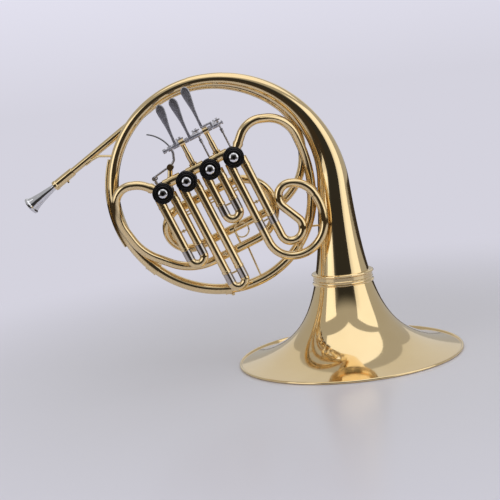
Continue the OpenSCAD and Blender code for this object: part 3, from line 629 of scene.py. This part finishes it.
# Half widths up the key, and the round tip above them: its start, half width, height and radius
PADDLE_WIDTHS = [(0, 1.9), (14, 1.8), (26, 2.6), (36, 4.1), (44, 5.3), (50, 5.9)]
TIP_START, TIP_HALF, TIP_RISE, TIP_REACH = 50, 5.9, 8.15, 8.3
PADDLE_FOOT = 8
PADDLE_FRONT = -0.75
PADDLE_BACK = 0.7


def paddle_half(h):
    if h > TIP_START:
        return TIP_HALF * math.sqrt(1 - ((h - TIP_START) / TIP_REACH) ** 2)
    return next(w0 + (w1 - w0) * (h - z0) / (z1 - z0)
                for (z0, w0), (z1, w1) in zip(PADDLE_WIDTHS, PADDLE_WIDTHS[1:]) if z0 <= h <= z1)


def make_paddle(k):
    """Crowned face of a finger key, over the flat one."""
    stem, top, rise = PADDLES[k - 1]
    sideways = Matrix.Rotation(math.atan2(top - stem, PADDLE_LEN), 3, "Y")
    lean = sideways @ Matrix.Rotation(PADDLE_TILT, 3, "X")

    def place(x, y, z):
        at = Vector((stem, PADDLE_FORWARD, rise)) + lean @ Vector((x, y, z))
        return row_point(at.x, AXLE_Y + at.y, AXLE_V + at.z)

    heights = list(range(PADDLE_FOOT, TIP_START + 1, 2))
    heights += [TIP_START + TIP_RISE * math.sin(math.radians(a)) for a in range(12, 85, 6)]
    across = 16
    turns = [math.pi * (j / across - 0.5) for j in range(across + 1)]
    rings = []
    for h in heights:
        half = paddle_half(h)
        crown = 0.25 + 0.16 * half
        front = [place(half * math.sin(t), PADDLE_FRONT - crown * math.cos(t), h) for t in turns]
        rings.append(front + [place(half, PADDLE_BACK, h), place(-half, PADDLE_BACK, h)])
    add_piece(f"finger_paddle_{k}", [loft(rings, False)], f"lever_{k}", "lever_steel")


# ---------------------------------------------------------------- valve slides
SLEEVE_R = 6.0
SLIDE_BORE = 5.45
CROOK_R = 5.9
FERRULE_R = 6.1
SLEEVE_REACH = (82, 134.5, 49.5, 91)   # from the valve centres to the ends of the sleeves
SLIDE_IN = (56, 94, 32, 54)            # how far the legs reach up into the sleeves
BOW_BELOW = (15.2, 15.2, 15.2, 12)     # from the ends of the sleeves to the start of the crooks
LEG_START = 15
COIL_LOW = 150                 # heights of the coil's two bottom bends
COIL_HIGH = 170.3
COIL_PLACES = ((-19.4, COIL_LOW), (-19.4, 212.8), (-39.4, 247.5), (-77, 247.5), (-77, 222),
               (-48.8, 194.3), (-48.8, COIL_HIGH))
COIL_BENDS = [34, 43.5, 69, 34.5, 17, 17, 15.8, 16, 13.5]


def coil_path(k, start):
    """Centreline of the coiled crook of the last slide."""
    down = -row_dir(90)
    left, right = at_valve(k, -LEG_HALF, -start), at_valve(k, LEG_HALF, -start)
    first = left + down * ((left.z - COIL_LOW) / -down.z)
    last = right + down * ((right.z - COIL_HIGH) / -down.z)
    middle = [Vector((x, -VALVE_FRONT, z)) for x, z in COIL_PLACES]
    return rounded([left, first] + middle + [last, right], COIL_BENDS)


def bow_path(k, start):
    middle = at_valve(k, 0, -start)
    tilt = math.degrees(ROW_TILT)
    return arc(middle.x, middle.z, LEG_HALF, 180 + tilt, 360 + tilt, -VALVE_FRONT, 5)


def make_slide(k):
    reach = SLEEVE_REACH[k - 1]
    start = reach + BOW_BELOW[k - 1]
    up = row_dir(90)
    length = reach - LEG_START
    profile = band(0, 3, SLEEVE_R + 0.5) + [(3, SLEEVE_R), (length - 4, SLEEVE_R)]
    profile += band(length - 4, length, SLEEVE_R + 0.4, 0.15)
    sleeves = [turned(at_valve(k, side * LEG_HALF, -reach), up, profile, 5.5) for side in (-1, 1)]
    add_piece(f"slide_sleeve_pair_{k}", sleeves, "horn_body", "lacquered_brass", (f"slide_sleeves_{k}",))

    crook = coil_path(k, start) if k == 4 else bow_path(k, start)
    shells = [sweep(crook, CROOK_R, CROOK_R - WALL)]
    for side in (-1, 1):
        leg = [(0, SLIDE_BORE), (start - reach + SLIDE_IN[k - 1], SLIDE_BORE)]
        shells.append(turned(at_valve(k, side * LEG_HALF, -start), up, leg, SLIDE_BORE - WALL))
    bar = [at_valve(k, side * (LEG_HALF - SLIDE_BORE), -reach - 3.5) for side in (-1, 1)]
    shells.append(sweep(straight(*bar), 1.3, 0, 20))
    add_piece(f"slide_crook_{k}_tube", shells, f"slide_{k}", "lacquered_brass", (f"slide_crook_{k}",))

    ferrules = []
    for side in (-1, 1):
        profile = band(0, start - reach - 0.4, FERRULE_R, 0.3)
        ferrules.append(turned(at_valve(k, side * LEG_HALF, -start), up, profile, SLIDE_BORE))
    add_piece(f"slide_ferrules_{k}", ferrules, f"slide_{k}", "nickel")


def make_coil_stays():
    """Two short rods that hold the coil's lower bends apart."""
    stays = []
    for x in (-59, -53.5):
        foot, head = Vector((x, -VALVE_FRONT, 155.5)), Vector((x + 1.2, -VALVE_FRONT, 165))
        stays.append(sweep(straight(foot, head), 1.1, 0, 20))
    add_piece("coil_stays", stays, "slide_4", "lacquered_brass")


def make_hub_hole_shade():
    """Painted shade: a near-black disc in the middle of each valve cap stands for the shade inside its
    blind hole.
    """
    hole_shade_discs = []
    for k in range(1, 5):
        centre = at_valve(k, 0, 0)
        hole_shade_discs.append(sweep(straight(centre - 19.3 * BACK, centre - 20.3 * BACK), 2.15, 0, 32))
    add_piece("hub_hole_shade", hole_shade_discs, "horn_body", "socket_black")


# ---------------------------------------------------------------- assembly
make_camera()
materials = make_materials()
for part in frame["record"]["subparts"]:
    node = nodes[part["node"]]
    dress(node, materials[part["material_slot"]])
    smooth_shading(node.data)
make_bell()
make_rim()
make_loop()
make_tail_ferrule()
make_leadpipe()
make_feed_pipe()
make_tuning_slide()
for valve in range(1, 5):
    make_slide(valve)
make_coil_stays()
make_hub_hole_shade()
for lever in range(1, 4):
    make_paddle(lever)
make_floor()
make_lights()
make_world()
bpy.context.scene.view_settings.view_transform = "Standard"
